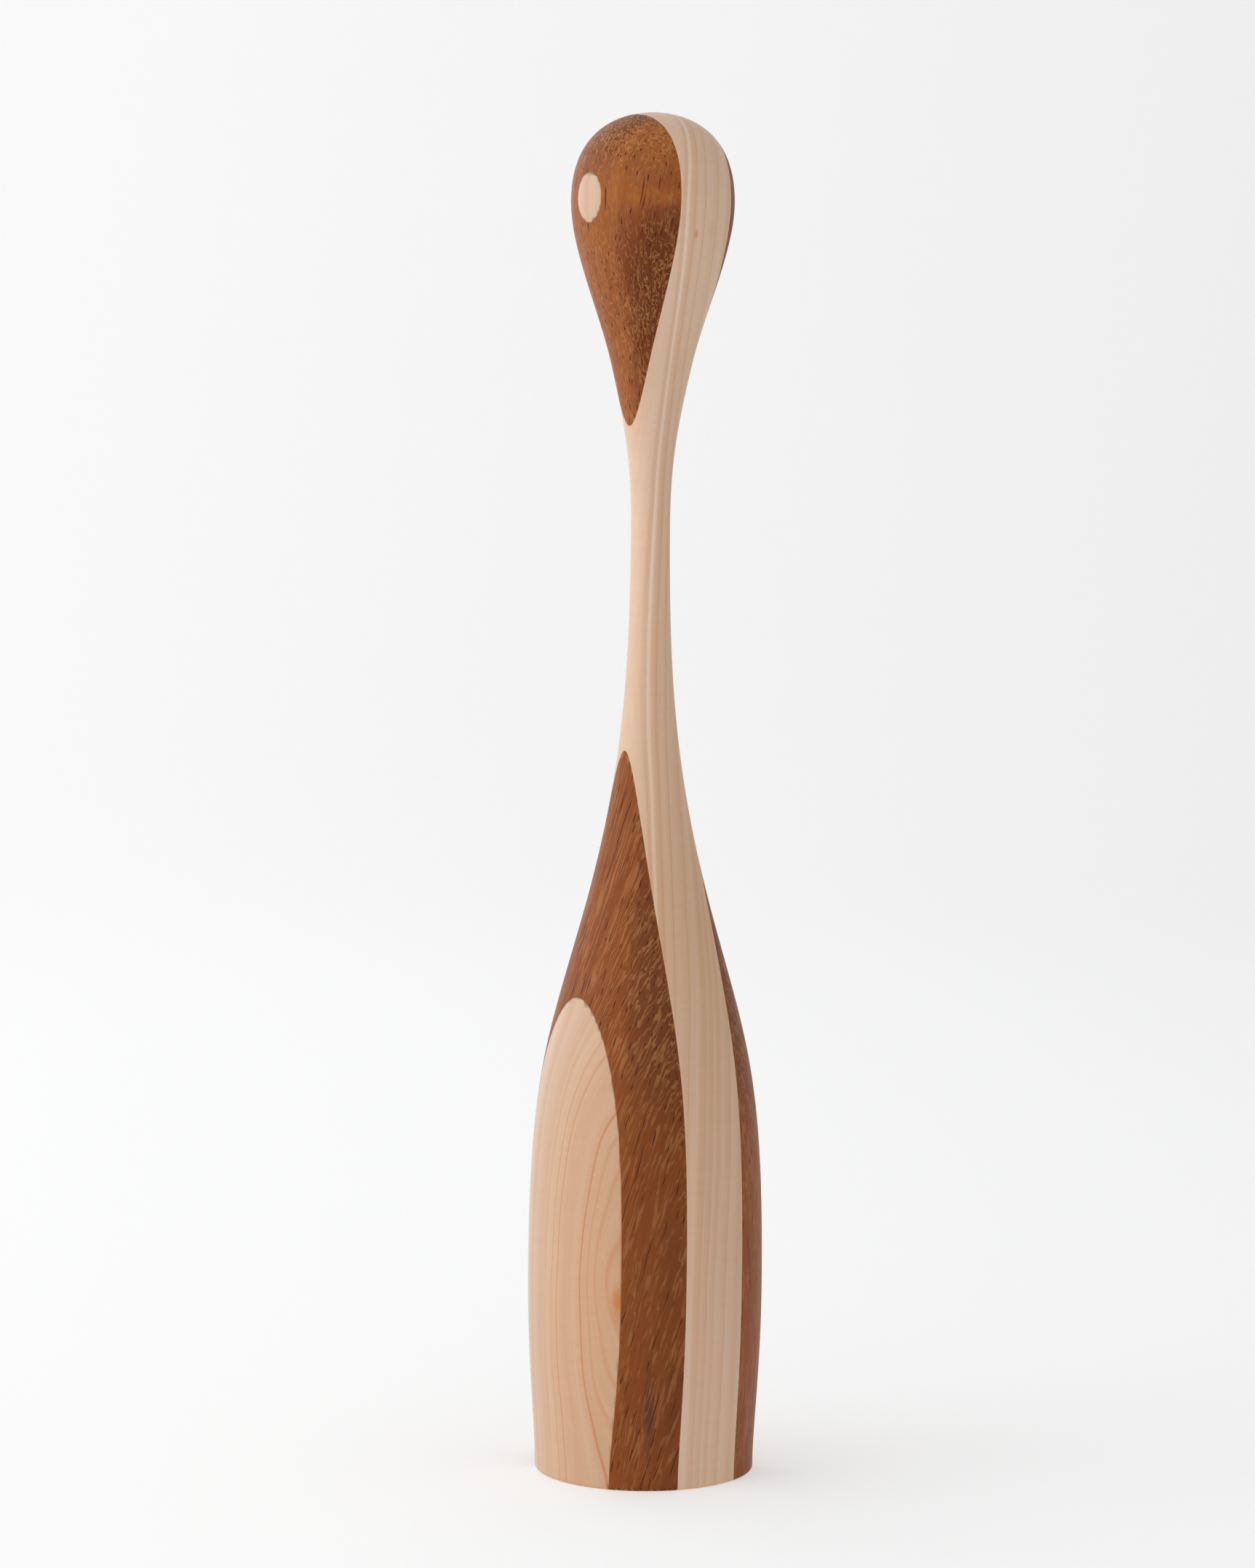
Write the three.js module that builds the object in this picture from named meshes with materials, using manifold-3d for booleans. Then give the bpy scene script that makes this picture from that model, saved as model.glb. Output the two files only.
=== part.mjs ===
// A turned kokeshi doll. Five boards of two woods are glued face to face into one square blank,
// and the blank is turned on a lathe to a drop-shaped head, a thin neck and a bellied body.
// The lathe cuts through the outer boards, so each of them is left as separate pieces: the
// dark boards as a head half and a body half, the front board as the oval of the face and the
// panel on the belly, and the back board as the panel behind.
//
// Millimetres, +Z up. The doll stands on Z = 0, its turning axis is Z, and it faces -Y.

import * as THREE from 'three';
import { mergeVertices } from 'three/addons/utils/BufferGeometryUtils.js';
import Module from 'manifold-3d';

// ---- Driving dimensions ------------------------------------------------------------------

// The turned outline, from the foot to the crown. A station is a height and a radius. The
// outline leans outwards there by lean degrees from upright, and above and below are the
// lengths of the curve's handles. facets is the number of steps up to the next station.
const STATIONS = [
  { name: 'foot', height: 0.9, radius: 30.88, lean: -1, above: 9.33, facets: 6 },
  { name: 'belly', height: 53.5, radius: 33.04, lean: 0, below: 24.9, above: 57, facets: 12 },
  { name: 'shoulder', height: 155.3, radius: 18.73, lean: -15.65, below: 35.7, above: 42.3, facets: 10 },
  { name: 'neck', height: 265.3, radius: 5.46, lean: 0, below: 41.3, above: 15.1, facets: 8 },
  { name: 'flare', height: 311.4, radius: 11.34, lean: 13.35, below: 21.5, above: 14.8, facets: 8 },
  { name: 'cheek', height: 355.5, radius: 22.66, lean: 0, below: 13, above: 21.1, facets: 12 },
  { name: 'crown', height: 380, radius: 0, lean: -90, below: 7.68 },
];
const FOOT_ROUND = 0.9; // radius sanded on the edge of the base
const FOOT_ROUND_FACETS = 3;
const TURNED_SIDES = 64; // facets once round the turned surface

const CENTRE_BOARD = 19.5; // thickness of the pale board in the middle
const DARK_BOARD = 15; // thickness of each dark board
const OUTER_BOARD = 20; // more than the turned shape needs of each outer pale board
const BLANK_LEAN = 0.591; // degrees that the blank leans back from the turning axis
const BLANK_SHIFT = -0.94; // where the middle of the centre board crosses the base, along Y
const GLUE_GAP = 0.3; // clearance between two glued faces, half of it on each board

const BLANK_WIDTH = 80; // across the boards' faces, well over the belly
const BLANK_BELOW = 20; // how far the blank reaches past the foot and the crown

// ---- The turned shape --------------------------------------------------------------------

const station = Object.fromEntries(STATIONS.map((s) => [s.name, s]));

function point(s) {
  return new THREE.Vector2(s.radius, s.height);
}

function direction(s) {
  const lean = THREE.MathUtils.degToRad(s.lean);
  return new THREE.Vector2(Math.sin(lean), Math.cos(lean));
}

function outlineCurve(from, to) {
  return new THREE.CubicBezierCurve(
    point(from),
    point(from).addScaledVector(direction(from), from.above),
    point(to).addScaledVector(direction(to), -to.below),
    point(to),
  );
}

// The foot's rounded edge, then one curve between each two stations, as points from the
// middle of the base to the crown.
function outlinePoints() {
  const centre = station.foot.radius - FOOT_ROUND;
  const edge = new THREE.EllipseCurve(
    centre, FOOT_ROUND, FOOT_ROUND, FOOT_ROUND, -Math.PI / 2, 0,
  );
  const points = [new THREE.Vector2(0, 0), ...edge.getPoints(FOOT_ROUND_FACETS)];
  for (let i = 1; i < STATIONS.length; i += 1) {
    const curve = outlineCurve(STATIONS[i - 1], STATIONS[i]);
    points.push(...curve.getPoints(STATIONS[i - 1].facets).slice(1));
  }
  points.at(-1).x = 0;
  return points;
}

const turnedShape = new THREE.LatheGeometry(outlinePoints(), TURNED_SIDES).rotateX(Math.PI / 2);

// ---- Solids ------------------------------------------------------------------------------

const wasm = await Module();
wasm.setup();

// A closed three.js geometry as a solid. The slivers that a lathe leaves at its poles, where
// two corners of a triangle are one point, are dropped.
function toSolid(geometry) {
  const bare = geometry.clone();
  bare.deleteAttribute('normal');
  bare.deleteAttribute('uv');
  const merged = mergeVertices(bare, 1e-4);
  const corners = merged.index.array;
  const triangles = [];
  for (let i = 0; i < corners.length; i += 3) {
    const [a, b, c] = corners.slice(i, i + 3);
    if (a !== b && b !== c && c !== a) triangles.push(a, b, c);
  }
  return new wasm.Manifold(new wasm.Mesh({
    numProp: 3,
    vertProperties: merged.attributes.position.array,
    triVerts: new Uint32Array(triangles),
  }));
}

function toGeometry(solid) {
  const cut = solid.getMesh();
  const geometry = new THREE.BufferGeometry();
  geometry.setAttribute('position', new THREE.BufferAttribute(cut.vertProperties, 3));
  geometry.setIndex(new THREE.BufferAttribute(cut.triVerts, 1));
  const flatShaded = geometry.toNonIndexed();
  flatShaded.computeVertexNormals();
  return flatShaded;
}

// A length of one board of the blank, from one height to another. Its faces are front and
// back from the middle of the centre board, and it leans with the rest of the blank.
function board(front, back, low, high) {
  const thickness = back - front - GLUE_GAP;
  const slab = new THREE.BoxGeometry(BLANK_WIDTH, thickness, high - low);
  slab.translate(0, (front + back) / 2, (low + high) / 2);
  slab.rotateX(-THREE.MathUtils.degToRad(BLANK_LEAN));
  slab.translate(0, BLANK_SHIFT, 0);
  return toSolid(slab);
}

// ---- Materials ---------------------------------------------------------------------------

function wood(color) {
  return new THREE.MeshStandardMaterial({ color, roughness: 0.5, metalness: 0 });
}

const palePlain = wood('#d9bc98'); // the centre board, straight in the grain
const paleFigured = wood('#ddb593'); // the outer boards, a warmer pink
const darkRed = wood('#84502f'); // the two dark boards

// ---- Assembly ----------------------------------------------------------------------------

const turned = toSolid(turnedShape);
const doll = new THREE.Group();

function addPiece(name, blankPart, material) {
  const piece = new THREE.Mesh(toGeometry(turned.intersect(blankPart)), material);
  piece.name = name;
  doll.add(piece);
}

const bottom = -BLANK_BELOW;
const waist = station.neck.height; // only the centre board is left here
const top = station.crown.height + BLANK_BELOW;

const inner = CENTRE_BOARD / 2; // glue faces of the centre board
const outer = inner + DARK_BOARD; // glue faces between the dark and the outer boards
const outside = outer + OUTER_BOARD;

addPiece('core_board', board(-inner, inner, bottom, top), palePlain);

addPiece('head_front', board(-outer, -inner, waist, top), darkRed);
addPiece('head_back', board(inner, outer, waist, top), darkRed);
addPiece('body_front', board(-outer, -inner, bottom, waist), darkRed);
addPiece('body_back', board(inner, outer, bottom, waist), darkRed);

addPiece('face_oval', board(-outside, -outer, waist, top), paleFigured);
addPiece('belly_panel_front', board(-outside, -outer, bottom, waist), paleFigured);
addPiece('belly_panel_back', board(outer, outside, bottom, waist), paleFigured);

export default doll;
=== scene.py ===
import math

import bmesh
import bpy
from mathutils import Matrix, Vector
from mathutils.geometry import interpolate_bezier


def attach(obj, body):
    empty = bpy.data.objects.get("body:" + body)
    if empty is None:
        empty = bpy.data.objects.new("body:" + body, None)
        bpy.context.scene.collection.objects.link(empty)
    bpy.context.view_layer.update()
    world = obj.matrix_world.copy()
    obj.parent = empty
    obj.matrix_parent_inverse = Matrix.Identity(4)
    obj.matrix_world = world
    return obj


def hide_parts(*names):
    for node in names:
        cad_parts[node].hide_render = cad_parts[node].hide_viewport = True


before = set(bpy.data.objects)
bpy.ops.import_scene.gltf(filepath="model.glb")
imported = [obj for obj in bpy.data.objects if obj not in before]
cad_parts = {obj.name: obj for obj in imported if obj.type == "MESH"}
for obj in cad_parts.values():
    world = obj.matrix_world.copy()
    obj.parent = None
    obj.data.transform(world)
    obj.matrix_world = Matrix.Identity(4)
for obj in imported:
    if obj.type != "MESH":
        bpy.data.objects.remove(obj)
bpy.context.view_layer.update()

MM = 0.001

# ---- Centre board: core_board -------------------------------------------------------------------
# The pale board in the middle of the blank, hard maple sawn nearly on the quarter. It is the only
# board that runs in one length from the foot through the neck to the crown. Both of its faces are
# planed, and the dark boards are glued to them before the blank is turned.

# The turned outline from the foot to the crown, in millimetres. Each station is its height, its
# radius, the lean of the outline there in degrees from upright, the lengths of the curve's handles
# below and above it, and the number of steps up to the next station.
FOOT = (0.9, 30.88, -1.0, 0.0, 9.33, 18)
BELLY = (53.5, 33.04, 0.0, 24.9, 57.0, 40)
SHOULDER = (155.3, 18.73, -15.65, 35.7, 42.3, 36)
NECK = (265.3, 5.46, 0.0, 41.3, 15.1, 24)
FLARE = (311.4, 11.34, 13.35, 21.5, 14.8, 26)
CHEEK = (355.5, 22.66, 0.0, 13.0, 21.1, 30)
CROWN = (380.0, 0.0, -90.0, 7.68, 0.0, 0)
STATIONS = (FOOT, BELLY, SHOULDER, NECK, FLARE, CHEEK, CROWN)
FOOT_ROUND = 0.9  # radius sanded on the edge of the foot
FOOT_ROUND_STEPS = 6
TURNED_STEPS = 256  # steps once round the turned surface

CENTRE_BOARD = 19.5  # thickness of the centre board
DARK_BOARD = 15.0  # thickness of each dark board
BLANK_LEAN = math.radians(0.591)  # the blank leans back by this much from the turning axis
BLANK_SHIFT = -0.94  # where the middle of the centre board crosses the base, along Y
INNER_GLUE = CENTRE_BOARD / 2
OUTER_GLUE = INNER_GLUE + DARK_BOARD
BLANK_TURN = Matrix.Rotation(-BLANK_LEAN, 3, "X")


def handle(station, length):
    """The offset of a curve's handle from its station, along the outline, in metres."""
    lean = math.radians(station[2])
    return Vector((math.sin(lean), 0, math.cos(lean))) * length * MM


def outline():
    """Points of the turned outline from the middle of the foot to the crown, in metres."""
    centre = FOOT[1] - FOOT_ROUND
    points = [Vector((0, 0, 0))]
    for step in range(FOOT_ROUND_STEPS):
        angle = math.pi / 2 * step / FOOT_ROUND_STEPS
        radius = centre + FOOT_ROUND * math.sin(angle)
        points.append(Vector((radius, 0, FOOT_ROUND * (1 - math.cos(angle)))) * MM)
    for low, high in zip(STATIONS, STATIONS[1:]):
        start = Vector((low[1], 0, low[0])) * MM
        end = Vector((high[1], 0, high[0])) * MM
        curve = interpolate_bezier(
            start, start + handle(low, low[4]), end - handle(high, high[3]), end, low[5] + 1
        )
        points += curve[:-1]
    points.append(Vector((0, 0, CROWN[0])) * MM)
    return points


def saw(shape, point, away):
    """Cuts the solid on a plane, drops the side that away points to, and closes the cut."""
    parts = shape.verts[:] + shape.edges[:] + shape.faces[:]
    cut = bmesh.ops.bisect_plane(
        shape, geom=parts, dist=1e-7, plane_co=point, plane_no=away, clear_outer=True
    )
    edges = [part for part in cut["geom_cut"] if isinstance(part, bmesh.types.BMEdge)]
    if edges:
        bmesh.ops.edgeloop_fill(shape, edges=edges)


# The whole block as it comes off the lathe, as if it were one wood.
turned = bmesh.new()
turned_points = [turned.verts.new(point) for point in outline()]
turned_edges = [turned.edges.new(pair) for pair in zip(turned_points, turned_points[1:])]
bmesh.ops.spin(
    turned, geom=turned_points + turned_edges, cent=(0, 0, 0), axis=(0, 0, 1), dvec=(0, 0, 0),
    angle=math.tau, steps=TURNED_STEPS, use_merge=True,
)
bmesh.ops.remove_doubles(turned, verts=turned.verts, dist=0.0001 * MM)
bmesh.ops.recalc_face_normals(turned, faces=turned.faces)
for turned_face in turned.faces:
    turned_face.smooth = True


def turn_board(name, faces, above_neck=None):
    """What the lathe leaves of a board that lies between two glue faces of the blank.

    faces are the board's faces in millimetres from the middle of the blank, with None where the
    board has no glued face on that side. above_neck keeps only the head's or the body's part.
    """
    shape = turned.copy()
    if above_neck is not None:
        saw(shape, Vector((0, 0, NECK[0])) * MM, Vector((0, 0, -1 if above_neck else 1)))
    for face, side in zip(faces, (-1, 1)):
        if face is not None:
            point = BLANK_TURN @ Vector((0, face, 0)) + Vector((0, BLANK_SHIFT, 0))
            saw(shape, point * MM, BLANK_TURN @ Vector((0, side, 0)))
    mesh = bpy.data.meshes.new(name)
    shape.to_mesh(mesh)
    shape.free()
    piece = bpy.data.objects.new(name, mesh)
    bpy.context.scene.collection.objects.link(piece)
    return piece


def linear(colour):
    """A colour written as sRGB hex, as the linear colour that a shader takes."""
    channels = [int(colour[i:i + 2], 16) / 255 for i in (1, 3, 5)]
    return [c / 12.92 if c <= 0.04045 else ((c + 0.055) / 1.055) ** 2.4 for c in channels] + [1.0]


def add(material, kind, inputs=None, stops=None, **settings):
    """Adds a node. inputs are numbers, colours, nodes or sockets by input name or number."""
    node = material.node_tree.nodes.new("ShaderNode" + kind)
    for name, setting in settings.items():
        setattr(node, name, setting)
    for name, value in (inputs or {}).items():
        if isinstance(value, bpy.types.Node):
            value = value.outputs[0]
        if isinstance(value, bpy.types.NodeSocket):
            material.node_tree.links.new(value, node.inputs[name])
        else:
            node.inputs[name].default_value = value
    if stops:
        ramp = node.color_ramp.elements
        ramp[0].position, ramp[0].color = stops[0]
        ramp[1].position, ramp[1].color = stops[-1]
        for position, colour in stops[1:-1]:
            ramp.new(position).color = colour
    return node


def new_material(name):
    """An empty node material with its output."""
    material = bpy.data.materials.new(name)
    material.use_nodes = True
    material.node_tree.nodes.clear()
    return material


def blank_space(material):
    """Object coordinates as millimetres of the glued blank, whose glue faces are planes of Y."""
    place = add(material, "TexCoord").outputs["Object"]
    return add(material, "Mapping", {
        "Vector": place, "Location": (0, BLANK_SHIFT * MM, 0),
        "Rotation": (-BLANK_LEAN, 0, 0), "Scale": (MM, MM, MM),
    }, vector_type="TEXTURE")


def mix(first, second, share):
    """The linear colour that is share of the way from the first to the second."""
    return [a * (1 - share) + b * share for a, b in zip(first, second)]


RING_WANDER = 1.2  # how far in all a growth ring strays in and out, in millimetres


def maple(name, pith, lean, rings, plain, shift):
    """Hard maple: close, even wood with thin growth rings round the pith of its own tree.

    To the eye it is pale and calm, with faint lines along it and a silky grain too fine to count.
    pith is where the line of the pith crosses the base, and lean its slope along X and Y. rings
    lists how far out from the pith each line lies, and how light, up to 1, or dark, down to -1, it
    is. plain is the wood's colour nearest to the pith and farthest from it, and shift the colours
    of the darkest and the lightest lines.
    """
    material = new_material(name)
    place = add(material, "TexCoord").outputs["Object"]
    tree = add(material, "Mapping", {
        "Vector": place, "Location": (pith[0] * MM, pith[1] * MM, 0),
        "Rotation": (-lean[1], lean[0], 0), "Scale": (MM, MM, MM),
    }, vector_type="TEXTURE")
    # A ring wanders slowly, over about 36 mm of its length and 18 mm of its round.
    along = add(material, "VectorMath", {0: tree, 1: (1, 1, 0.5)}, operation="MULTIPLY")
    wander = add(material, "TexNoise", {"Vector": along, "Scale": 1 / 18, "Detail": 1.0})
    across = add(material, "VectorMath", {0: tree, 1: (1, 1, 0)}, operation="MULTIPLY")
    out = add(material, "VectorMath", {0: across}, operation="LENGTH").outputs["Value"]
    out = add(material, "Math", {0: wander, 1: RING_WANDER, 2: out}, operation="MULTIPLY_ADD")
    out = add(material, "Math", {0: out, 1: RING_WANDER / 2}, operation="SUBTRACT")
    low, high = rings[0][0], rings[-1][0]
    share = add(material, "MapRange", {"Value": out, "From Min": low, "From Max": high})
    stops = []
    for ring, lightness in rings:
        share_out = (ring - low) / (high - low)
        wood = mix(linear(plain[0]), linear(plain[1]), share_out)
        line = linear(shift[1] if lightness > 0 else shift[0])
        stops.append((share_out, mix(wood, line, abs(lightness))))
    colour = add(material, "ValToRGB", {"Fac": share}, stops=stops)
    # Fine lines within the rings, about 0.5 mm apart, that run on for about 90 mm.
    height = add(material, "SeparateXYZ", {0: tree}).outputs["Z"]
    height = add(material, "Math", {0: height, 1: 1 / 90}, operation="MULTIPLY")
    sheet = add(material, "CombineXYZ", {"X": out, "Y": height})
    lines = add(material, "TexNoise", {"Vector": sheet, "Scale": 2.2, "Detail": 3.0,
                                       "Roughness": 0.7}, noise_dimensions="2D")
    # Fibres and rays, 0.4 mm wide and about 2 mm long.
    strands = add(material, "VectorMath", {0: tree, 1: (1, 1, 0.22)}, operation="MULTIPLY")
    fibre = add(material, "TexNoise", {"Vector": strands, "Scale": 2.2, "Detail": 2.0})
    # Slow changes of tone along the board.
    cloud = add(material, "TexNoise", {"Vector": along, "Scale": 1 / 26, "Detail": 2.0})
    # A faint curl: the fibres swell and sink every millimetre or so along the grain.
    curl = add(material, "VectorMath", {0: tree, 1: (0.12, 0.12, 0.8)}, operation="MULTIPLY")
    curl = add(material, "TexNoise", {"Vector": curl, "Scale": 1.0, "Detail": 1.0})
    # Together they change the brightness by a few hundredths, and the fine lines warm it a little.
    tone = add(material, "Math", {0: fibre, 1: 0.07, 2: 0.91}, operation="MULTIPLY_ADD")
    tone = add(material, "Math", {0: curl, 1: 0.05, 2: tone}, operation="MULTIPLY_ADD")
    tone = add(material, "Math", {0: cloud, 1: 0.06, 2: tone}, operation="MULTIPLY_ADD")
    colour = add(material, "HueSaturation", {"Value": tone, "Color": colour})
    lines = add(material, "MapRange", {"Value": lines, "From Min": 0.3, "From Max": 0.7})
    colour = add(material, "Mix", {0: lines, 6: colour, 7: (0.97, 0.935, 0.89, 1)},
                 data_type="RGBA", blend_type="MULTIPLY").outputs[2]
    bump = add(material, "Bump", {"Height": fibre, "Strength": 0.25, "Distance": 0.02 * MM})
    return material, colour, bump


def finish_wood(material, colour, bump, roughness, shine):
    """The surface over the colour: sanded, oiled and rubbed to a low satin.

    The eye sees one broad, soft sheen and no sharp reflection. shine is how strong the sheen is.
    """
    shader = add(material, "BsdfPrincipled", {
        "Base Color": colour, "Normal": bump, "Roughness": roughness, "IOR": 1.5,
        "Specular IOR Level": shine,
    })
    add(material, "OutputMaterial", {"Surface": shader})


# Growth rings of the centre board: millimetres from the pith, and how light or dark each line is.
# The board was sawn along the radius, so they run down its face as nearly straight lines.
CENTRE_RINGS = (
    (36.0, 0.1), (38.4, 0.35), (39.7, 0.3), (40.5, -0.2), (41.1, 0.0), (41.3, 0.95), (41.9, 0.8),
    (42.2, 0.1), (43.1, -0.15), (43.9, -0.5), (44.05, 0.1), (45.2, 0.25), (46.3, 0.0),
    (46.55, -0.55), (46.8, 0.15), (47.8, 0.25), (50.5, 0.0), (50.75, -0.55), (51.0, 0.1),
    (53.3, 0.35), (54.4, -0.15), (55.8, -0.35), (56.0, 0.05), (57.9, -0.35), (58.1, 0.2),
    (59.7, -0.25), (60.7, 0.2), (63.4, -0.3), (63.7, 0.25), (65.2, 0.1), (66.8, -0.3), (69.0, 0.1),
)
centre_wood, centre_colour, centre_bump = maple(
    "quartered_maple_oiled", pith=(0.17, -53.77), lean=(0.0021, 0.0364), rings=CENTRE_RINGS,
    plain=("#d3b399", "#d1b196"), shift=("#c69a72", "#e2cab6"),
)

# The board's colour drifts along its length, tanner at the shoulder and greyer at both ends.
centre_place = blank_space(centre_wood)
centre_height = add(centre_wood, "SeparateXYZ", {0: centre_place}).outputs["Z"]
centre_height = add(centre_wood, "MapRange", {"Value": centre_height, "From Max": CROWN[0]})
drift = add(centre_wood, "ValToRGB", {"Fac": centre_height}, stops=[
    (0.0, (1.0, 1.0, 1.0, 1)), (0.15, (0.93, 0.92, 0.90, 1)), (0.42, (0.91, 0.83, 0.74, 1)),
    (0.65, (0.96, 0.93, 0.90, 1)), (0.9, (1.0, 1.0, 1.0, 1)), (1.0, (0.98, 0.96, 0.94, 1)),
])
centre_colour = add(centre_wood, "Mix", {0: 1.0, 6: centre_colour, 7: drift},
                    data_type="RGBA", blend_type="MULTIPLY").outputs[2]


def spot(material, space, colour, stain, centre, size, strength):
    """Stains the colour round a centre, with a ragged rim, over a size along X, Y and Z in mm."""
    away = add(material, "Mapping", {
        "Vector": space, "Location": centre, "Scale": size,
    }, vector_type="TEXTURE")
    ragged = add(material, "TexNoise", {"Vector": space, "Scale": 0.5, "Detail": 2.0})
    away = add(material, "VectorMath", {0: away}, operation="LENGTH").outputs["Value"]
    away = add(material, "Math", {0: ragged, 1: 0.9, 2: away}, operation="MULTIPLY_ADD")
    near = add(material, "MapRange", {
        "Value": away, "From Min": 0.45, "From Max": 1.45, "To Min": strength, "To Max": 0.0,
    }, interpolation_type="SMOOTHSTEP")
    return add(material, "Mix", {0: near, 6: colour, 7: linear(stain)},
               data_type="RGBA").outputs[2]


# Small natural marks: a pink fleck on the head, and fainter tan ones on the head and belly.
CENTRE_MARKS = (
    ("#cd8757", (21.5, -4.4, 345.8), (4.0, 1.1, 2.0), 1.0),
    ("#c9a070", (22.0, 1.0, 347.0), (8.0, 2.5, 4.0), 0.3),
    ("#c39468", (33.0, 3.0, 64.0), (6.0, 1.8, 2.2), 0.5),
)
for mark in CENTRE_MARKS:
    centre_colour = spot(centre_wood, centre_place, centre_colour, *mark)
MAPLE_ROUGHNESS = 0.45
MAPLE_SHINE = 0.35
finish_wood(centre_wood, centre_colour, centre_bump, roughness=MAPLE_ROUGHNESS, shine=MAPLE_SHINE)

core_board = turn_board("core_board_maple", (-INNER_GLUE, INNER_GLUE))
core_board.data.materials.append(centre_wood)
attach(core_board, "root")
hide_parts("core_board")

# ---- Dark boards: head and body, front and back --------------------------------------------------
# A coarse red-brown tropical hardwood, sawn on the quarter, one board on each side of the centre
# board. The neck is thinner than the centre board, so turning cuts each dark board in two, a part
# on the head and a part on the body, held only by the glue on its flat face.

LEAN_ASIDE = -0.75  # how much the fibres lean across the board for their lean through it
PORE_SPACING = 1.8  # in millimetres


def worn_edge(material, colour, depth, face, reach, share, stain):
    """The edge of a board where the lathe left it too thin to hide the wood beneath.

    depth is the place through the blank, face the glue face that the board lies on, reach how far
    above it the stain fades out, in millimetres, and share how much of it shows on the very edge.
    """
    depth = add(material, "Math", {0: depth}, operation="ABSOLUTE")
    thin = add(material, "MapRange", {
        "Value": depth, "From Min": face, "From Max": face + reach, "To Min": share, "To Max": 0.0,
    })
    return add(material, "Mix", {0: thin, 6: colour, 7: linear(stain)},
               data_type="RGBA").outputs[2]


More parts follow.
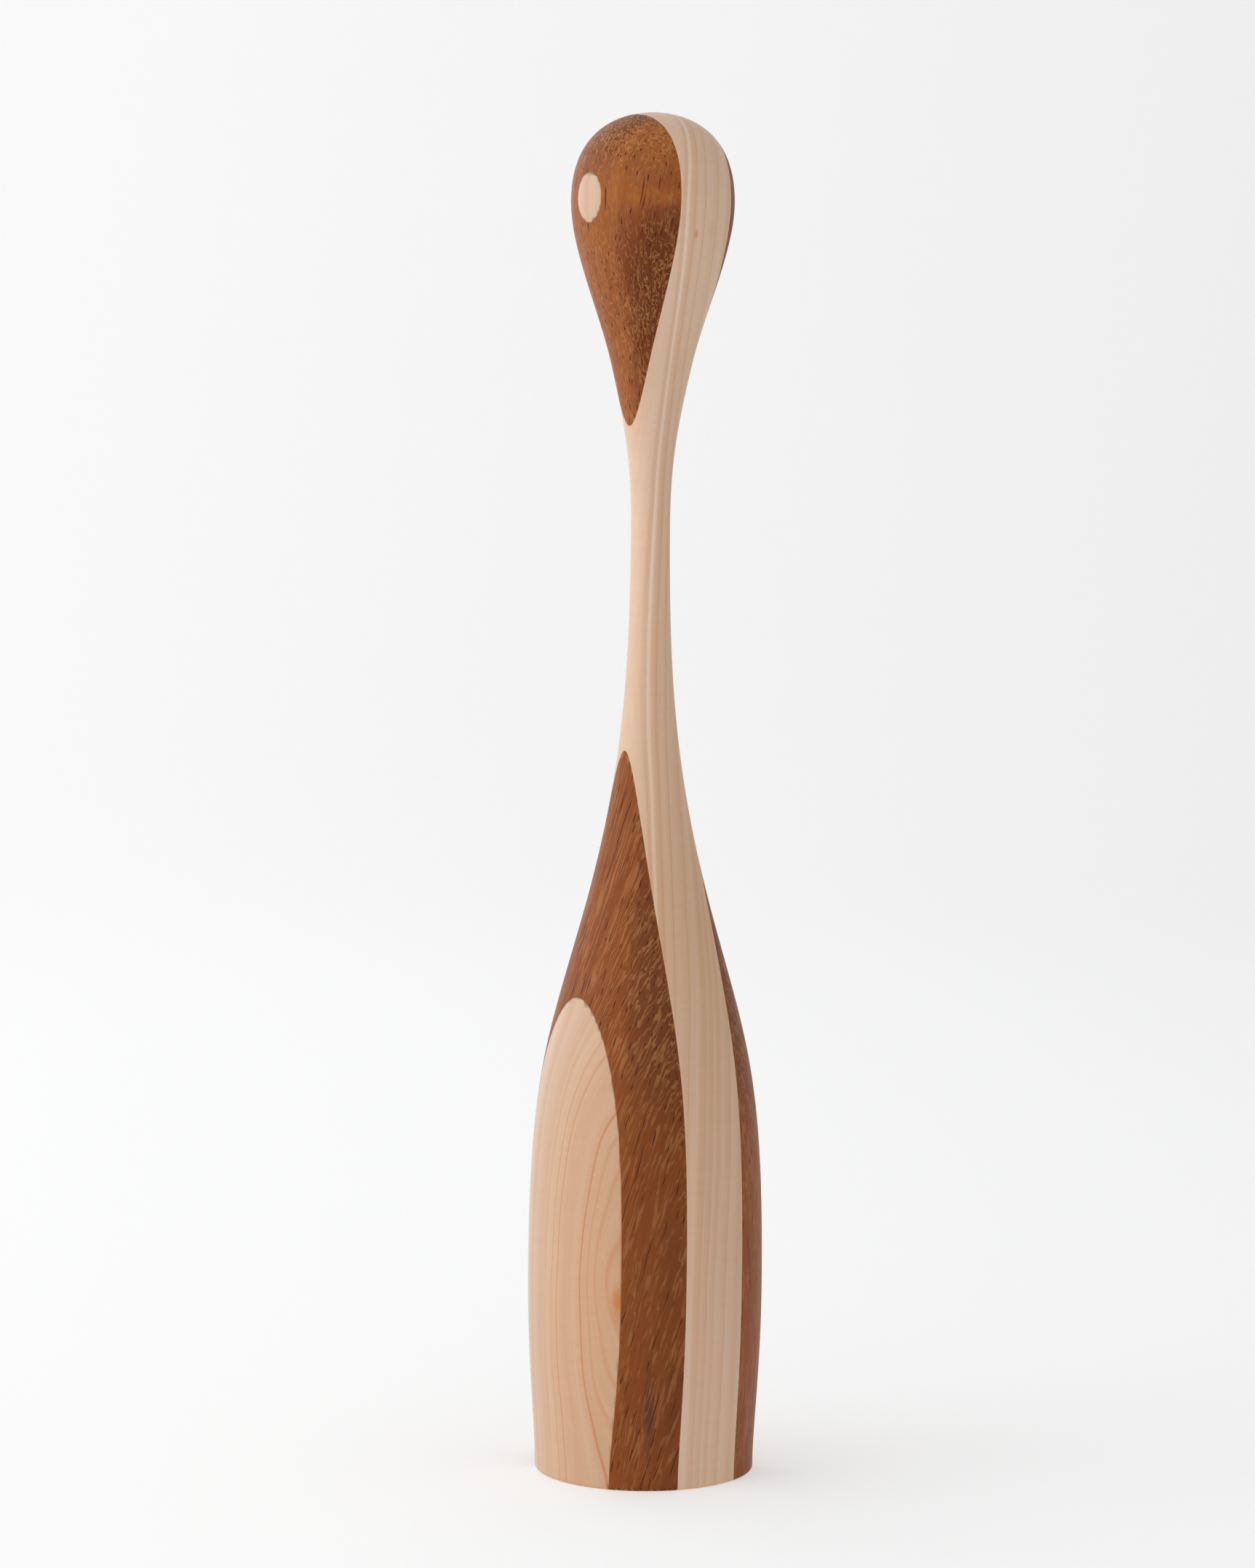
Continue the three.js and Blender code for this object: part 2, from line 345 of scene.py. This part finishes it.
def red_hardwood(name, start, level, lean, weave, sheen_and_shade_ramp, edge_tone, marks=()):
    """Coarse red-brown hardwood with pale bands of soft tissue and open pores.

    To the eye it is deep and warm and flecked with gold. Its colour turns with the side the surface
    faces, which paints sheen and shade into it. start offsets the pattern in millimetres, so that
    the boards differ. The fibres lean along Y by the slopes in lean, in the middle of the board and
    towards its edges, and are level at the height in level. weave is how closely the pale bands lie
    through the board's width, its thickness and its length, per millimetre. lustre is the colour,
    a painted sheen and painted shade that follow which side the surface faces, from the ramp's
    start for faces turned down, through upright faces, to its end. It stands in for the gleam of
    fibres that slant steeply into the surface, lie level, or slant steeply out. edge_tone is the
    tone near the edges, and marks are stains.
    """
    material = new_material(name)
    space = blank_space(material)
    across, depth, height = add(material, "SeparateXYZ", {0: space}).outputs
    edge = add(material, "Math", {0: across}, operation="ABSOLUTE")
    slope = add(material, "MapRange", {
        "Value": edge, "From Min": 6.0, "From Max": 16.0, "To Min": lean[0], "To Max": lean[1],
    }, interpolation_type="SMOOTHSTEP")
    rise = add(material, "Math", {0: height, 1: level}, operation="SUBTRACT")
    drift = add(material, "Math", {0: rise, 1: slope}, operation="MULTIPLY")
    straight = add(material, "Math", {0: depth, 1: drift}, operation="SUBTRACT")
    aside = add(material, "Math", {0: drift, 1: LEAN_ASIDE, 2: across}, operation="MULTIPLY_ADD")
    grain = add(material, "CombineXYZ", {"X": aside, "Y": straight, "Z": height})
    grain = add(material, "VectorMath", {0: grain, 1: start}, operation="ADD")

    # Painted sheen and painted shade: the colour follows which side the surface faces. It stands in
    # for fibres that slant into the surface or out of it, which turns the wood from golden to a deep
    # red-brown. They are interlocked, so they slant one way towards one edge of the board, where it
    # faces along X, and a little the other way over the rest. Undercut faces are painted darker, as
    # shade.
    normal = add(material, "NewGeometry").outputs["Normal"]
    facing, _, up = add(material, "SeparateXYZ", {0: normal}).outputs
    way = add(material, "MapRange", {
        "Value": facing, "From Min": 0.25, "From Max": 0.85, "To Min": -0.3, "To Max": 1.0,
    }, interpolation_type="SMOOTHSTEP")
    slow = add(material, "VectorMath", {0: grain, 1: (1, 0.5, 0.12)}, operation="MULTIPLY")
    cloud = add(material, "TexNoise", {"Vector": slow, "Scale": 0.3, "Detail": 2.0})
    # Painted shade: faces turned down towards the floor are made darker still.
    undercut_shade = add(material, "Math", {0: up, 1: 0.0}, operation="MINIMUM")
    sheen_and_shade = add(material, "Math", {0: up, 1: way}, operation="MULTIPLY")
    sheen_and_shade = add(material, "Math", {0: undercut_shade, 1: 0.5, 2: sheen_and_shade}, operation="MULTIPLY_ADD")
    sheen_and_shade = add(material, "Math", {0: cloud, 1: 0.1, 2: sheen_and_shade}, operation="MULTIPLY_ADD")
    sheen_and_shade = add(material, "MapRange", {"Value": sheen_and_shade, "From Min": -0.44, "From Max": 0.56})
    colour = add(material, "ValToRGB", {"Fac": sheen_and_shade}, stops=sheen_and_shade_ramp)
    outer = add(material, "MapRange", {
        "Value": edge, "From Min": 18.0, "From Max": 29.0, "To Min": 1.0, "To Max": edge_tone,
    })

    # Slow change of tone across and along the board, and fibres 0.7 mm wide.
    strands = add(material, "VectorMath", {0: grain, 1: (1, 0.6, 0.06)}, operation="MULTIPLY")
    fibre = add(material, "TexNoise", {"Vector": strands, "Scale": 1.4, "Detail": 3.0,
                                       "Roughness": 0.6})
    tone = add(material, "Math", {0: cloud, 1: 0.3, 2: 0.66}, operation="MULTIPLY_ADD")
    tone = add(material, "Math", {0: fibre, 1: 0.34, 2: tone}, operation="MULTIPLY_ADD")
    tone = add(material, "Math", {0: tone, 1: outer}, operation="MULTIPLY")
    colour = add(material, "HueSaturation", {"Value": tone, "Color": colour})
    for mark in marks:
        colour = spot(material, space, colour, *mark)

    # Pale bands of soft tissue: wavy sheets a few tenths of a millimetre thick and about 1 mm
    # apart, broken into short lengths. They crowd together in some places, and show most where
    # the surface dives across them.
    dive = add(material, "Math", {0: up}, operation="ABSOLUTE")
    ripple = add(material, "VectorMath", {0: grain, 1: (0.5, 0.9, 0.12)}, operation="MULTIPLY")
    ripple = add(material, "TexNoise", {"Vector": ripple, "Scale": 1.0, "Detail": 1.0})
    ripple = add(material, "Math", {0: ripple, 1: 1.4}, operation="MULTIPLY")
    offset = add(material, "CombineXYZ", {"X": ripple})
    waved = add(material, "VectorMath", {0: grain, 1: offset}, operation="ADD")
    bands = add(material, "VectorMath", {0: waved, 1: weave}, operation="MULTIPLY")
    bands = add(material, "TexNoise", {"Vector": bands, "Scale": 1.0, "Detail": 0.0})
    bands = add(material, "Math", {0: bands, 1: 0.5}, operation="SUBTRACT")
    bands = add(material, "Math", {0: bands}, operation="ABSOLUTE")
    bands = add(material, "MapRange", {
        "Value": bands, "From Min": 0.03, "From Max": 0.10, "To Min": 1.0, "To Max": 0.0,
    }, interpolation_type="SMOOTHSTEP")
    broken = add(material, "VectorMath", {0: waved, 1: (1.0, 0.9, 0.3)}, operation="MULTIPLY")
    broken = add(material, "TexNoise", {"Vector": broken, "Scale": 1.0, "Detail": 1.0})
    crowd = add(material, "TexNoise", {"Vector": slow, "Scale": 0.35, "Detail": 1.0})
    broken = add(material, "Math", {0: crowd, 1: broken}, operation="ADD")
    broken = add(material, "Math", {0: dive, 1: 0.3, 2: broken}, operation="MULTIPLY_ADD")
    broken = add(material, "MapRange", {
        "Value": broken, "From Min": 0.78, "From Max": 1.12,
    }, interpolation_type="SMOOTHSTEP")
    shown = add(material, "MapRange", {
        "Value": dive, "From Min": 0.1, "From Max": 0.6, "To Min": 0.3, "To Max": 0.85,
    })
    flecks = add(material, "Math", {0: bands, 1: broken}, operation="MULTIPLY")
    flecks = add(material, "Math", {0: flecks, 1: shown}, operation="MULTIPLY")
    colour = add(material, "Mix", {0: flecks, 6: colour, 7: linear("#b07c4c")},
                 data_type="RGBA").outputs[2]

    # Pores: vessels cut open as dots or long dashes. They are drawn up to 0.4 mm wide, about
    # twice as wide as they are, so that they show.
    bend = add(material, "VectorMath", {0: grain, 1: (0.3, 0.3, 0.1)}, operation="MULTIPLY")
    bend = add(material, "TexNoise", {"Vector": bend, "Scale": 1.0}).outputs["Color"]
    vessels = add(material, "VectorMath", {0: bend, 1: (1.2, 1.2, 0), 2: grain},
                  operation="MULTIPLY_ADD")
    pores = add(material, "TexVoronoi", {"Vector": vessels, "Scale": 1 / PORE_SPACING},
                voronoi_dimensions="2D").outputs["Distance"]
    pores = add(material, "MapRange", {
        "Value": pores, "From Min": 0.06, "From Max": 0.12, "To Min": 0.85, "To Max": 0.0,
    }, interpolation_type="SMOOTHSTEP")
    colour = add(material, "Mix", {0: pores, 6: colour, 7: linear("#3d190d")},
                 data_type="RGBA").outputs[2]

    # The pale board beneath glows through the thin edge.
    colour = worn_edge(material, colour, depth, INNER_GLUE, 0.2, 0.8, "#c98544")
    hollow = add(material, "Math", {0: 1.0, 1: pores}, operation="SUBTRACT")
    bump = add(material, "Bump", {"Height": hollow, "Strength": 0.5, "Distance": 0.08 * MM})
    finish_wood(material, colour, bump, roughness=0.45, shine=0.11)
    return material


# The body is an even red-brown. Painted shade makes it darker where it slopes in to the shoulder
# and where it is undercut, and a painted sheen makes it lighter where it stands upright.
BODY_SHEEN_AND_SHADE = (
    (0.0, linear("#6e3c1e")), (0.3, linear("#733d1e")), (0.41, linear("#85461d")),
    (0.57, linear("#85461d")), (0.67, linear("#763e1e")), (0.77, linear("#6f3b1f")),
    (1.0, linear("#6b3921")),
)
# The head turns from a deep red-brown under the cheek, a painted shade, to gold round its widest
# part, a painted sheen.
HEAD_SHEEN_AND_SHADE = (
    (0.0, linear("#64300f")), (0.2, linear("#693214")), (0.3, linear("#763c1b")),
    (0.38, linear("#814422")), (0.44, linear("#8f5027")), (0.5, linear("#9b5723")),
    (0.56, linear("#905025")), (0.65, linear("#8e4f27")), (0.8, linear("#965427")),
    (1.0, linear("#985427")),
)
# A grey mineral streak in the foot.
GREY_STREAK = (("#4d3225", (26.0, -18.0, 22.0), (2.6, 2.4, 20.0), 0.75),)
body_wood = red_hardwood(
    "quartered_red_hardwood_body", start=(0, 0, 0), level=100, lean=(0.22, 0.22),
    weave=(1.7, 0.3, 0.05), sheen_and_shade_ramp=BODY_SHEEN_AND_SHADE, edge_tone=0.8, marks=GREY_STREAK,
)
head_wood = red_hardwood(
    "quartered_red_hardwood_head", start=(0, 3, 0), level=350, lean=(0, 0.12),
    weave=(2.4, 0.9, 0.3), sheen_and_shade_ramp=HEAD_SHEEN_AND_SHADE, edge_tone=1.0,
)
# The board behind is plainer and nearly straight in the grain.
back_wood = red_hardwood(
    "quartered_red_hardwood_back", start=(40, 0, 0), level=200, lean=(0.05, 0.05),
    weave=(1.7, 0.3, 0.05), sheen_and_shade_ramp=BODY_SHEEN_AND_SHADE, edge_tone=1.1,
)

# Each piece: its node, its board's two faces, whether it is above the neck, and its wood.
DARK_PIECES = (
    ("head_front", (-OUTER_GLUE, -INNER_GLUE), True, head_wood),
    ("head_back", (INNER_GLUE, OUTER_GLUE), True, back_wood),
    ("body_front", (-OUTER_GLUE, -INNER_GLUE), False, body_wood),
    ("body_back", (INNER_GLUE, OUTER_GLUE), False, back_wood),
)
for node, faces, above_neck, wood in DARK_PIECES:
    dark_piece = turn_board(node + "_hardwood", faces, above_neck)
    dark_piece.data.materials.append(wood)
    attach(dark_piece, "root")
    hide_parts(node)

# ---- Outer boards: face_oval, belly_panel_front, belly_panel_back --------------------------------
# Warmer, pinker maple from another tree, glued outside the dark boards. Only the widest parts of
# the figure reach it, so turning leaves an oval on the face and a long pointed panel on the belly,
# whose edges are worn to nothing over the dark wood.

# Growth rings of the outer boards: millimetres from the pith, and how light or dark each line is.
# These boards were sawn across the radius, so the rings sweep over the panel as tall arches.
OUTER_RINGS = (
    (112.0, 0.1), (113.3, 0.35), (114.6, 0.0), (116.2, 0.35), (118.0, 0.0), (120.0, -0.25),
    (121.2, 0.05), (125.3, -0.15), (125.7, 0.0), (126.4, -0.15), (127.0, 0.15), (128.18, 0.05),
    (128.3, -0.7), (128.42, 0.05), (129.48, 0.0), (129.6, -0.8), (129.72, 0.05), (131.3, -0.1),
    (132.4, 0.15), (133.1, 0.0), (133.2, -1.0), (133.31, 0.0), (133.9, 0.05), (134.0, -0.55),
    (134.08, 0.1), (134.62, 0.05), (134.7, -0.45), (134.8, 0.05), (135.34, 0.05), (135.42, -0.4),
    (135.6, 0.0),
)
OUTER_PLAIN = ("#c9b19d", "#c89d7a")
OUTER_SHIFT = ("#c0784a", "#dcbca0")
# The orange flame beside a small knot, low on the front panel.
KNOT_FLAME = (("#c27838", (20.6, -25.4, 53.5), (2.4, 2.8, 7.0), 0.95),)

# The front and the back board each come from their own side of the tree. For each: the material's
# name, its pith and lean, its marks, and the node, the glue faces and the part of the figure of
# its pieces.
OUTER_BOARDS = (
    ("flat_sawn_maple_front_oiled", (-67.47, 77.46), (-0.0749, -0.0698), KNOT_FLAME, (
        ("face_oval", (None, -OUTER_GLUE), True),
        ("belly_panel_front", (None, -OUTER_GLUE), False),
    )),
    ("flat_sawn_maple_back_oiled", (67.47, -77.46), (0.0749, 0.0698), (), (
        ("belly_panel_back", (OUTER_GLUE, None), False),
    )),
)
for board, pith, lean, marks, pieces in OUTER_BOARDS:
    outer_wood, outer_colour, outer_bump = maple(
        board, pith, lean, OUTER_RINGS, OUTER_PLAIN, OUTER_SHIFT
    )
    outer_place = blank_space(outer_wood)
    for mark in marks:
        outer_colour = spot(outer_wood, outer_place, outer_colour, *mark)
    # The dark board beneath shows through the thin edge.
    outer_depth = add(outer_wood, "SeparateXYZ", {0: outer_place}).outputs["Y"]
    outer_colour = worn_edge(
        outer_wood, outer_colour, outer_depth, OUTER_GLUE, 0.1, 0.7, "#a8703f"
    )
    finish_wood(
        outer_wood, outer_colour, outer_bump, roughness=MAPLE_ROUGHNESS, shine=MAPLE_SHINE
    )
    for node, faces, above_neck in pieces:
        pale_piece = turn_board(node + "_maple", faces, above_neck)
        pale_piece.data.materials.append(outer_wood)
        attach(pale_piece, "root")
        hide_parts(node)
turned.free()

# ---- Stage: a round white sweep -------------------------------------------------------------------
# A pale floor that curves up into a wall all the way round, so that every view has the same plain
# background, and the wall throws back soft light from all sides.
FLOOR_RADIUS = 1.5  # metres
SWEEP_RADIUS = 1.2  # metres, of the curve between the floor and the wall
SWEEP_STEPS = 12  # steps up that curve
SWEEP_TURN_STEPS = 96  # steps once round the sweep
WALL_HEIGHT = 2.6  # metres
sweep_shape = bmesh.new()
sweep_points = [Vector((0, 0, 0))]
for step in range(SWEEP_STEPS + 1):
    angle = math.pi / 2 * step / SWEEP_STEPS
    sweep_points.append(Vector((
        FLOOR_RADIUS + SWEEP_RADIUS * math.sin(angle), 0, SWEEP_RADIUS * (1 - math.cos(angle)),
    )))
sweep_points.append(Vector((FLOOR_RADIUS + SWEEP_RADIUS, 0, WALL_HEIGHT)))
sweep_verts = [sweep_shape.verts.new(point) for point in sweep_points]
sweep_edges = [sweep_shape.edges.new(pair) for pair in zip(sweep_verts, sweep_verts[1:])]
bmesh.ops.spin(
    sweep_shape, geom=sweep_verts + sweep_edges, cent=(0, 0, 0), axis=(0, 0, 1), dvec=(0, 0, 0),
    angle=math.tau, steps=SWEEP_TURN_STEPS, use_merge=True,
)
bmesh.ops.remove_doubles(sweep_shape, verts=sweep_shape.verts, dist=MM)
for face in sweep_shape.faces:
    face.smooth = True
sweep_mesh = bpy.data.meshes.new("sweep")
sweep_shape.to_mesh(sweep_mesh)
sweep_shape.free()
sweep = bpy.data.objects.new("sweep", sweep_mesh)
bpy.context.scene.collection.objects.link(sweep)

# Matt white paint, which the eye sees as an even white without a sheen. It glows as if daylight
# fell on it, most on one side of the doll and least on the other.
SWEEP_DIM_SIDE = (0.618, 0.786, 0)  # the way towards the dimmer side
sweep_paint = new_material("matt_white_sweep")
sweep_place = add(sweep_paint, "TexCoord").outputs["Object"]
sweep_side = add(sweep_paint, "VectorMath", {0: sweep_place, 1: SWEEP_DIM_SIDE},
                 operation="DOT_PRODUCT").outputs["Value"]
sweep_side = add(sweep_paint, "MapRange", {
    "Value": sweep_side, "From Min": -FLOOR_RADIUS - SWEEP_RADIUS,
    "From Max": FLOOR_RADIUS + SWEEP_RADIUS,
})
# The glow, from the brightest side of the sweep, 0, to the dimmest, 1.
SWEEP_GLOW = ((0.0, 0.85), (0.22, 0.8), (0.38, 0.47), (0.62, 0.37), (0.78, 0.16), (1.0, 0.16))
sweep_light = add(sweep_paint, "ValToRGB", {"Fac": sweep_side}, stops=[
    (share, (glow, glow, glow, 1)) for share, glow in SWEEP_GLOW
])
sweep_shader = add(sweep_paint, "BsdfPrincipled", {
    "Base Color": (0.55, 0.55, 0.55, 1), "Roughness": 1.0, "Specular IOR Level": 0.0,
    "Emission Color": sweep_light, "Emission Strength": 1.0,
})
add(sweep_paint, "OutputMaterial", {"Surface": sweep_shader})
sweep_paint.cycles.emission_sampling = "NONE"
sweep.data.materials.append(sweep_paint)

# ---- Light and camera ----------------------------------------------------------------------------
# Soft light from the open top of the sweep, a large soft box to the camera's left, and a weaker one
# behind the doll on the same side. The camera looks down by 5 degrees from a little over a metre.
AIM = Vector((0, 0, 183.4)) * MM
VIEW_AZIMUTH = math.radians(51.8)
VIEW_ELEVATION = math.radians(5.0)
VIEW_DISTANCE = 1.182  # metres
VIEW_ROLL = math.radians(0.425)
VIEW_LENS = 96.85  # millimetres, on a 36 mm sensor
VIEW_SHIFT = (-0.01327, 0.02412)
COOL_DAYLIGHT = (0.93, 0.98, 1.0)
SKYLIGHT = 0.73  # strength of the even white light from above


def direction(azimuth, elevation):
    """The unit vector from the doll towards a place at an azimuth and elevation in radians."""
    flat = math.cos(elevation)
    return Vector((math.sin(azimuth) * flat, -math.cos(azimuth) * flat, math.sin(elevation)))


def soft_box(name, azimuth, elevation, distance, width, height, power):
    """A rectangular lamp that faces the doll, in metres and watts.

    The angles are in degrees, and the azimuth is counted from the camera's.
    """
    data = bpy.data.lights.new(name, "AREA")
    data.shape = "RECTANGLE"
    data.size = width
    data.size_y = height
    data.energy = power
    data.color = COOL_DAYLIGHT
    lamp = bpy.data.objects.new(name, data)
    towards = direction(VIEW_AZIMUTH + math.radians(azimuth), math.radians(elevation))
    lamp.location = AIM + towards * distance
    lamp.rotation_euler = towards.to_track_quat("Z", "Y").to_euler()
    lamp.visible_camera = False
    bpy.context.scene.collection.objects.link(lamp)


soft_box(
    "soft_box_left", azimuth=-76, elevation=24, distance=1.3, width=1.1, height=1.1, power=3.7
)
soft_box(
    "soft_box_behind", azimuth=-145, elevation=38, distance=1.3, width=1.0, height=1.1, power=1.0
)

world = bpy.data.worlds.new("room")
world.use_nodes = True
sky = world.node_tree.nodes["Background"]
sky.inputs["Color"].default_value = (1, 1, 1, 1)
sky.inputs["Strength"].default_value = SKYLIGHT
bpy.context.scene.world = world

camera_data = bpy.data.cameras.new("camera")
camera_data.sensor_width = 36.0
camera_data.lens = VIEW_LENS
camera_data.shift_x, camera_data.shift_y = VIEW_SHIFT
camera_data.clip_end = 20.0
camera = bpy.data.objects.new("camera", camera_data)
backwards = direction(VIEW_AZIMUTH, VIEW_ELEVATION)
rightwards = Vector((0, 0, 1)).cross(backwards).normalized()
upwards = backwards.cross(rightwards)
turned_right = rightwards * math.cos(VIEW_ROLL) + upwards * math.sin(VIEW_ROLL)
turned_up = upwards * math.cos(VIEW_ROLL) - rightwards * math.sin(VIEW_ROLL)
camera.matrix_world = Matrix.Translation(AIM + backwards * VIEW_DISTANCE) @ Matrix((
    turned_right, turned_up, backwards,
)).transposed().to_4x4()
bpy.context.scene.collection.objects.link(camera)
bpy.context.scene.camera = camera
bpy.context.scene.view_settings.view_transform = "Standard"
